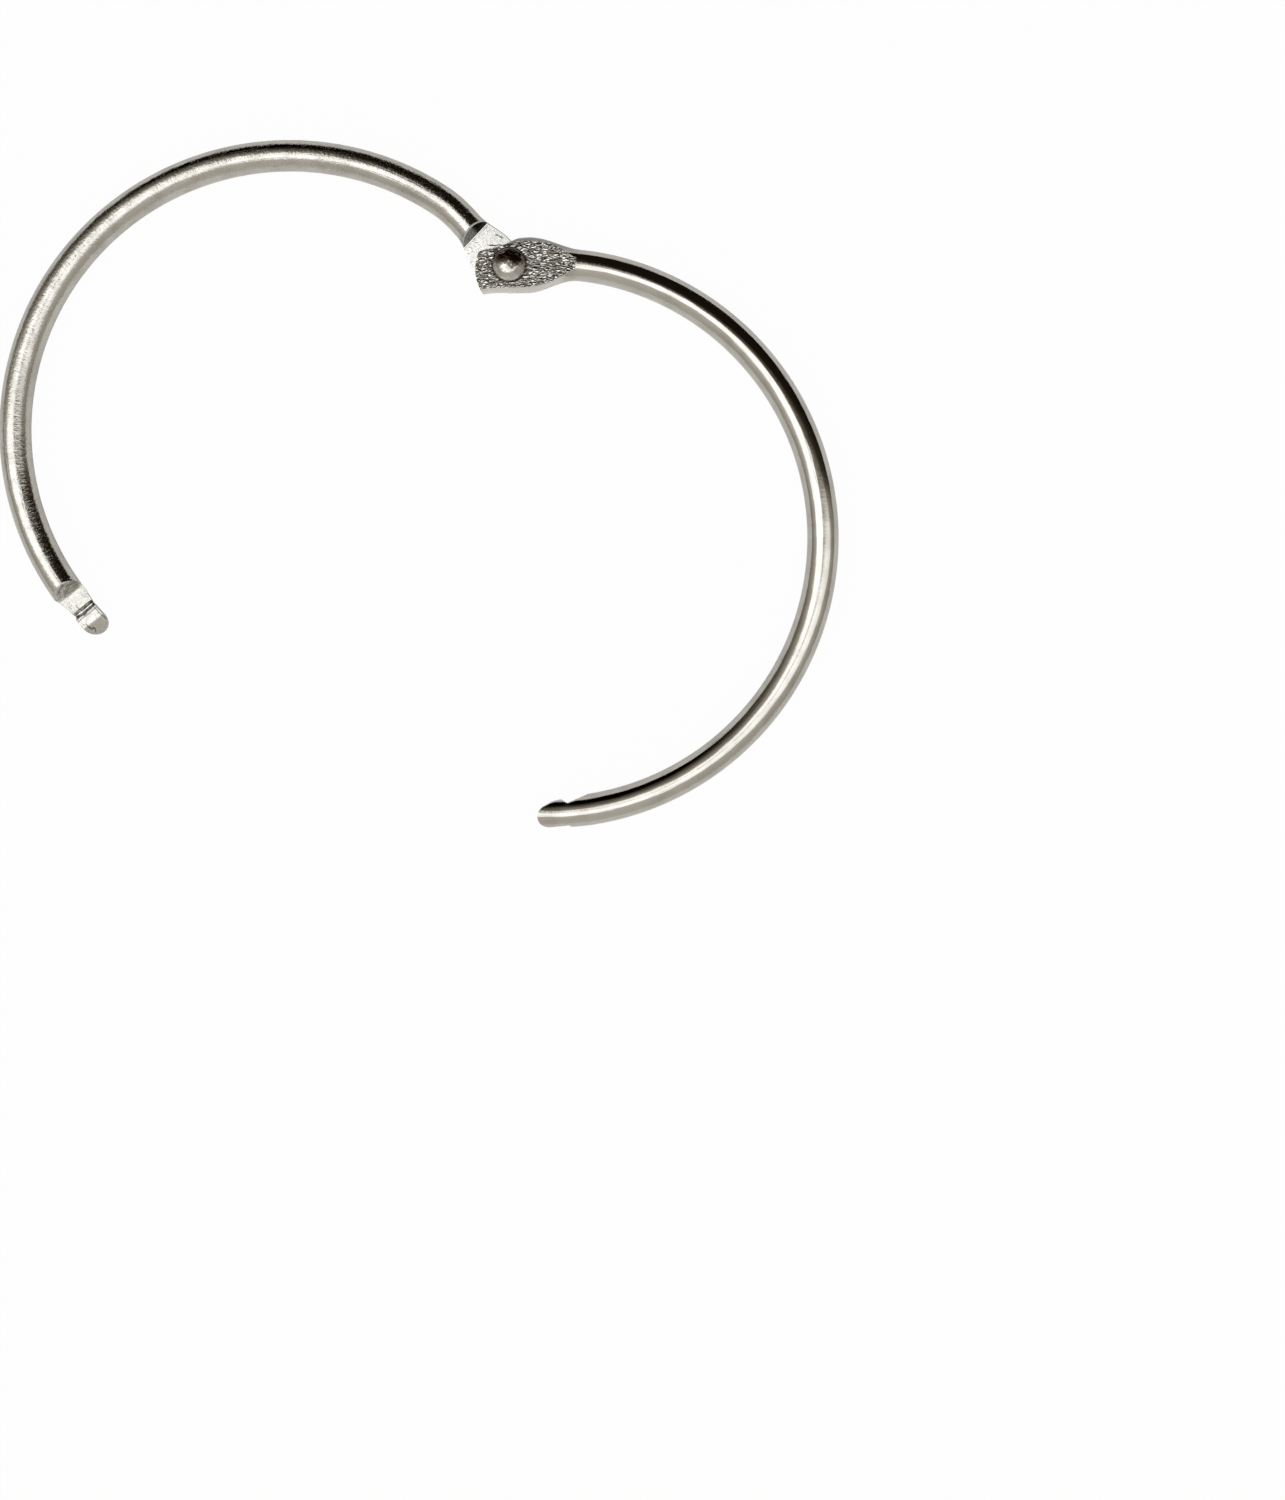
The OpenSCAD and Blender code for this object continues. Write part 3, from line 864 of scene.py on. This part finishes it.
def plated_wire(name, colours, sizes, satin):
    """Nickel plating on drawn wire. Along the wire run fine drawing lines, and a dulled half also
    has short marks across it. The outer flats of the lugs are crinkled by the hammer into long
    cells whose creases are painted dark as shade. The struck faces are speckled, streaked and
    stained, with painted shade and painted highlights on the tongues' steps and pads. The lug's
    near flank has a painted highlight, its far flank and the bottom of its near flank have painted
    shade, and a ring of painted shade lies round the rivet's head. The edges are polished bright,
    with painted highlight lines along them. satin is 0 for a smooth half and 1 for one that is
    dulled by marks."""
    g = MetalGraph(name)
    lay = g.attribute("lay")
    flat = g.parts(g.attribute("face_kind"))
    cut, edge = flat.port("Y"), flat.port("Z")
    along = g.parts(lay)
    off, level = along.port("Y"), along.port("Z")
    plain = (1 - flat - cut).clamp()
    on_lug = along.between(14.0, 12.0)
    wall = cut * level.between(0.1, -0.25) * on_lug

    # on the round wire: drawing lines, marks across, and soft waves left by the bending
    lines = g.grains(lay, (0.2, 4.5, 4.5), 3.0, 0.6)
    seams = g.grains(lay, (0.1, 2.6, 2.6), 1.0, 0.5).between(0.63, 0.7)
    marks = g.grains(lay, (3.6, 1.1, 1.1), 3.0, 0.62)
    grain = g.grains(lay, (2.3, 2.6, 2.6), 3.0, 0.6)
    waves = g.grains(lay, (0.3, 0.9, 0.9), 1.0, 0.5)
    cloud = g.grains(lay, (0.35, 0.35, 0.35), 2.0, 0.5)
    patchy = satin * (0.55 + 0.45 * cloud.between(0.35, 0.65))
    pits = g.grains(lay, (3.2, 4.4, 4.4), 2.0, 0.6).between(0.52, 0.62) * patchy
    height = plain * (
        lines * 0.009
        - seams * 0.006
        + marks * (patchy * 0.05 + 0.001)
        + grain * (patchy * 0.04 + 0.001)
        + waves * (sizes.dent_depth / MM)
    )

    # on the outer flats: long cells between creases, on a plan that is bent a little
    bent = g.grains(lay, (0.9, 1.3, 1.3), 1.0, 0.5)
    bent = g.add("ShaderNodeCombineXYZ", None, {0: bent * 0.3, 1: bent * 2.2})
    bent = {"Vector": g.vectors("ADD", g.vectors("MULTIPLY", lay, (1.05, 3.0, 0.5)), bent)}
    cells = g.add("ShaderNodeTexVoronoi", {"feature": "DISTANCE_TO_EDGE"}, {**bent, "Scale": 1.0})
    crumple = g.grains(lay, (0.85, 2.9, 1.0), 1.0, 0.5, 0.3)
    crease = cells.between(0.13, 0.03)
    depth = sizes.hammer_depth / MM
    height = height + flat * (cells.between(0.0, 0.3) * (depth * 0.8) + crumple * (depth * 2.0))

    # on the struck faces: specks, scratches along them, and shallow dents
    specks = g.grains(lay, (5.0, 5.0, 5.0), 3.0, 0.7)
    scratches = g.grains(lay, (0.9, 7.0, 3.0), 3.0, 0.7, 0.5)
    dents = g.grains(lay, (1.1, 1.1, 1.1), 1.0, 0.5)
    lug_face = cut * on_lug
    tip = (NOSE_AT - along) * TIP_SCALE
    beaten = 0.02 + tip.between(13.0, 10.0) * 0.2
    struck = specks * 0.012 + scratches * 0.014 + dents * beaten
    height = height + cut * (1 - lug_face * 0.55) * struck
    shiny, dark = tongue_marks(tip, off, dents, scratches)
    ticks, scratch, rivet_foot_shade = lug_marks(g)

    rough = 0.07 + 0.04 * satin + cloud * 0.03 + flat * 0.05 + cut * 0.17 + crease * flat * 0.2
    rough = rough - lug_face * 0.13
    rough = (rough + plain * pits * 0.26 - edge * 0.03).clamp()

    # from the clean plating up: dull clouds, struck faces, bright faces with painted highlights on
    # the pads and the near flank, specks, ticks and scratches together with painted shade in
    # creases, on the tongue's steps, on the flanks and round the rivet's head, shade on the
    # shoulder's wall, and edges polished bright with painted highlight lines
    base = g.colours(cloud.between(0.35, 0.75) * 0.3, colours.nickel, colours.dull)
    base = g.colours(cut * 0.9 + flat * 0.8, base, colours.struck)
    # painted light on the lug's flanks: the near flank is painted brighter as a highlight, the far
    # flank darker as shade, and the bottom of the near flank darker as a contact shadow
    near_side_highlight = plain * along.between(8.6, 7.0) * off.between(-1.2, -2.2)
    far_side_shade = plain * along.between(10.0, 8.0) * off.between(1.2, 2.6)
    under_edge_shade = near_side_highlight * level.between(0.45, 0.15)
    # the hammered creases and the low spots of the crinkle are painted dark as shade
    crease_shade = flat * (crease * 0.9 + crumple.between(0.45, 0.33) * 0.35)
    flecked = cut * (specks.between(0.42, 0.3) * 0.4 + scratches.between(0.4, 0.28) * 0.4)
    flecked = flecked * (1 - lug_face * 0.75) + plain * satin * grain.between(0.42, 0.3) * 0.3
    # painted highlights: the lug's near flank and the tongue's flat pads and ramp are painted
    # bright, and the lug's mating face takes the same bright colour
    base = g.colours((shiny * cut + near_side_highlight * 0.6 + lug_face).clamp(), base, colours.worn_and_highlight)
    # real specks, ticks and scratches, together with painted shade in the hammered creases, on the
    # tongue's steps, on the lug's far flank, at the bottom of its near flank and round the rivet's
    # head
    dirt_and_shade = crease_shade + flecked + dark * cut + (ticks * 0.8 + scratch) * lug_face
    dirt_and_shade = dirt_and_shade + far_side_shade * 0.6 + under_edge_shade * 0.7 + rivet_foot_shade * flat * 0.85
    base = g.colours(dirt_and_shade.clamp(), base, colours.grime_and_shade)
    shaded = wall * 0.3 + wall * off.between(-0.9, 0.1) * 0.65
    base = g.colours((shaded * (1 - edge)).clamp(), base, colours.grime_and_shade)
    # the rounded edges and the rim along the shoulder's arch are painted brighter: partly polish
    # from handling, partly painted highlight lines
    base = g.colours((edge * 0.9).clamp(0.75), base, colours.worn_and_highlight)

    # torn metal shines less: the shoulder's wall and its edge, the lug's near edge, and the
    # tongue's pads and ramp
    ramp = cut * tip.between(4.3, 4.6) * tip.between(8.4, 7.8)
    near_edge = edge * off.between(-1.2, -2.2) * along.between(8.6, 7.0)
    burr = edge * wall * 1.5 + near_edge * 0.7 + shiny * cut * 0.4 + ramp * 0.2
    burr = (burr + wall * off.between(0.3, -0.7) * 0.42).clamp()
    return g.finish(base, rough, height, 1 - burr)


def bright_rivet(name, colours):
    """Bright plating on the rivet, with soft dents and fine grain. A brown stain covers the side
    of the head that faces away from the ring's opening."""
    g = MetalGraph(name)
    place = g.vectors("MULTIPLY", g.place, TO_MM)
    cloud = g.noise(place, 0.8, 3.0, 0.55)
    away = (-math.sin(CAMERA_TURN), math.cos(CAMERA_TURN), 0)
    away = g.vectors("DOT_PRODUCT", g.from_hinge(place, 1), away, "Value")
    grain = g.noise(place, 4.0, 3.0, 0.6)
    dents = g.noise(place, 1.1, 1.0, 0.5)
    base = g.colours(cloud.between(0.42, 0.7) * 0.45, colours.nickel, colours.dull)
    base = g.colours((away + cloud * 1.6).between(0.5, 1.5) * 0.8, base, colours.stain)
    return g.finish(base, cloud * 0.12 + 0.12, grain * 0.02 + dents * 0.14)


def floor_paint(name, colour):
    """A matt pale floor that the eye sees nearly white, with the ring's shadow, and the metal
    sees grey. It can't be seen from below, so that it doesn't hide the ring's underside."""
    g = Graph(bpy.data.materials.new(name))
    rays = g.add("ShaderNodeLightPath", output="Is Camera Ray")
    gloss, through = rays.port("Is Glossy Ray"), rays.port("Is Transmission Ray")
    matt = g.add("ShaderNodeBsdfDiffuse", None, {"Color": tuple(colour) + (1,)})
    glow = g.add("ShaderNodeEmission", None, {"Color": (1, 1, 1, 1), "Strength": 1.0})
    seen = (rays * FLOOR_GLOW + (gloss + through) * FLOOR_GLOW_IN_METAL).clamp()
    below = g.add("ShaderNodeNewGeometry", output="Backfacing")
    clear = g.add("ShaderNodeBsdfTransparent")
    surface = g.shaders(below, g.shaders(seen, matt, glow), clear)
    g.add("ShaderNodeOutputMaterial", None, {"Surface": surface})
    return g.owner


def studio_world():
    """A room seen by the metal. A long soft light hangs overhead, and its glow falls off with the
    square of the angle from its middle, which counts less along its length. The walls are grey,
    paler towards the near side, and a dark cloth fills the far right quarter. Darker light is
    warmer. The eye sees the room white."""
    g = Graph(bpy.data.worlds.new("studio"))
    way = g.add("ShaderNodeTexCoord", output="Generated")
    c, s = math.cos(CAMERA_TURN), math.sin(CAMERA_TURN)
    right, far, up = (
        g.vectors("DOT_PRODUCT", way, axis, "Value") for axis in ((c, s, 0), (-s, c, 0), (0, 0, 1))
    )

    squeezed = g.add("ShaderNodeCombineXYZ", None, {0: right * LAMP_SQUEEZE, 1: far, 2: up})
    squeezed = g.vectors("NORMALIZE", squeezed)
    middle = LAMP_MIDDLE / np.linalg.norm(LAMP_MIDDLE)
    apart = g.vectors("DOT_PRODUCT", squeezed, middle, "Value").arccos()
    lamp = apart.between(LAMP_SIZE + LAMP_EDGE, LAMP_SIZE - LAMP_EDGE) * 0.9
    lamp = lamp + (1 - apart * (1 / LAMP_REACH)).clamp() ** 2 * 0.5

    side = far * 0.98 - right * 0.2
    cloth = side.between(-0.12, 0.06) * 0.93 + side.between(0.08, 0.28) * 0.065
    cloth = right.between(-0.075, 0.025) * cloth
    walls = 0.28 - far * 0.27 - far.between(0.2, 0.75) * 0.07
    level = (walls + lamp * (1 - right * 0.4)).clamp(1.7) * (1 - cloth)
    warm = cloth * 0.01
    green = level**1.05 * 0.985 + warm * 0.7
    blue = level**1.14 * 0.94 + warm * 0.4
    colour = g.add("ShaderNodeCombineXYZ", None, {0: level + warm, 1: green, 2: blue})

    rays = g.add("ShaderNodeLightPath", output="Is Camera Ray")
    glow = g.add("ShaderNodeBackground", None, {"Color": colour, "Strength": 1.0})
    white = g.add("ShaderNodeBackground", None, {"Color": (1, 1, 1, 1), "Strength": 1.0})
    g.add("ShaderNodeOutputWorld", None, {"Surface": g.shaders(rays, glow, white)})
    return g.owner


# ---- operators
def build_half(which, satin):
    """One half ring, from its sections: a grid joined round the wire, closed at both ends where
    the last sections shrink to a line, with the rivet's bore through its lug. The lower half is
    turned over, and its bore is sunk for the rivet's tail."""
    scene = bpy.context.scene
    sizes, colours = scene.ring_sizes, scene.ring_colours
    rounds = sizes.edge_round / MM, sizes.break_round / MM
    points, lay, kinds, s = half_ring_grid(LUGS[which], TONGUES[which], *rounds)
    sunk = which == "lower"
    points, hole, rims = open_bore(points, s, BORE_R, SINK_R if sunk else BORE_R)
    rows, cols = points.shape[:2]
    points, lay, kinds = (grid.reshape(-1, 3) for grid in (points, lay, kinds))
    low, high = (rim[:, 0] * cols + rim[:, 1] for rim in rims)
    neck, wall = bore_wall(points, low, high, sunk)
    faces = np.concatenate([grid_faces(rows, cols)[~hole[:-1]], wall])
    points = np.concatenate([points, neck])
    lay = np.concatenate([lay, np.repeat([[0.0, 0.0, 1.0]], len(neck), axis=0)])
    kinds = np.concatenate([kinds, np.zeros((len(neck), 3))])

    used, faces = np.unique(faces, return_inverse=True)
    attributes = [("lay", lay[used]), ("face_kind", kinds[used])]
    placed = place_half(points[used], -1 if sunk else 1)
    obj = make_piece(f"{which}_wire", placed, faces.reshape(-1, 4), attributes)
    obj.data.materials.append(plated_wire(f"{which}_plating", colours, sizes, satin))
    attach(obj, f"{which}_half")
    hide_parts(f"{which}_half_ring")


class RING_OT_upper_half(bpy.types.Operator):
    """Build the half ring whose lug lies on top at the hinge"""

    bl_idname = "binder_ring.upper_half"
    bl_label = "Upper half ring"

    def execute(self, context):
        build_half("upper", satin=0.1)
        return {"FINISHED"}


class RING_OT_lower_half(bpy.types.Operator):
    """Build the half ring whose lug lies underneath at the hinge"""

    bl_idname = "binder_ring.lower_half"
    bl_label = "Lower half ring"

    def execute(self, context):
        build_half("lower", satin=0.8)
        return {"FINISHED"}


class RING_OT_rivet(bpy.types.Operator):
    """Build the domed rivet that joins the two lugs"""

    bl_idname = "binder_ring.rivet"
    bl_label = "Hinge rivet"

    def execute(self, context):
        grid = rivet_grid()
        faces = grid_faces(*grid.shape[:2]).reshape(-1, 4)[:, ::-1]
        obj = make_piece("domed_rivet", grid.reshape(-1, 3), faces)
        obj.data.materials.append(bright_rivet("rivet_plating", context.scene.ring_colours))
        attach(obj, "lower_half")
        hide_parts("hinge_rivet")
        return {"FINISHED"}


def lay_floor(scene):
    """A wide square on the ground."""
    mesh = bpy.data.meshes.new("floor")
    signs = ((-1, -1), (1, -1), (1, 1), (-1, 1))
    mesh.from_pydata([(x * FLOOR_HALF, y * FLOOR_HALF, 0) for x, y in signs], [], [(0, 1, 2, 3)])
    floor = bpy.data.objects.new("floor", mesh)
    scene.collection.objects.link(floor)
    mesh.materials.append(floor_paint("pale_floor", scene.ring_colours.floor))


def hang_overhead(scene):
    """The soft light that casts the shadow. The metal sees the world's own light instead."""
    light = bpy.data.lights.new("overhead", "AREA")
    light.shape, light.size, light.energy = "DISK", OVERHEAD_SIZE, OVERHEAD_POWER
    lamp = bpy.data.objects.new("overhead", light)
    lamp.location = OVERHEAD_AT
    lamp.visible_glossy = False
    lamp.visible_camera = False
    scene.collection.objects.link(lamp)


def set_camera(scene):
    """A camera that looks straight down."""
    lens = bpy.data.cameras.new("camera")
    lens.sensor_width, lens.lens = SENSOR, FOCAL
    lens.shift_x, lens.shift_y = SHIFT
    lens.clip_start, lens.clip_end = CLIP
    camera = bpy.data.objects.new("camera", lens)
    camera.location = CAMERA_AT
    camera.rotation_euler = (0, 0, CAMERA_TURN)
    scene.collection.objects.link(camera)
    scene.camera = camera


class RING_OT_stage(bpy.types.Operator):
    """Set the floor, the light and the camera"""

    bl_idname = "binder_ring.stage"
    bl_label = "Stage, light and camera"

    def execute(self, context):
        scene = context.scene
        lay_floor(scene)
        scene.world = studio_world()
        hang_overhead(scene)
        set_camera(scene)
        scene.view_settings.view_transform = "Standard"
        return {"FINISHED"}


class RING_PT_panel(bpy.types.Panel):
    """Lists the pieces of the ring and their settings"""

    bl_idname = "RING_PT_panel"
    bl_label = "Binder Ring"
    bl_space_type = "VIEW_3D"
    bl_region_type = "UI"
    bl_category = "Binder Ring"

    def draw(self, context):
        for group in (context.scene.ring_sizes, context.scene.ring_colours):
            box = self.layout.box()
            for name in group.__annotations__:
                box.prop(group, name)
        for operator in OPERATORS:
            self.layout.operator(operator.bl_idname)


OPERATORS = (RING_OT_upper_half, RING_OT_lower_half, RING_OT_rivet, RING_OT_stage)
CLASSES = (RingSizes, RingColours, *OPERATORS, RING_PT_panel)


def register():
    for cls in CLASSES:
        bpy.utils.register_class(cls)
    bpy.types.Scene.ring_sizes = bpy.props.PointerProperty(type=RingSizes)
    bpy.types.Scene.ring_colours = bpy.props.PointerProperty(type=RingColours)


def unregister():
    del bpy.types.Scene.ring_colours
    del bpy.types.Scene.ring_sizes
    for cls in reversed(CLASSES):
        bpy.utils.unregister_class(cls)


def main():
    register()
    bpy.ops.binder_ring.upper_half()
    bpy.ops.binder_ring.lower_half()
    bpy.ops.binder_ring.rivet()
    bpy.ops.binder_ring.stage()


if __name__ == "__main__":
    main()
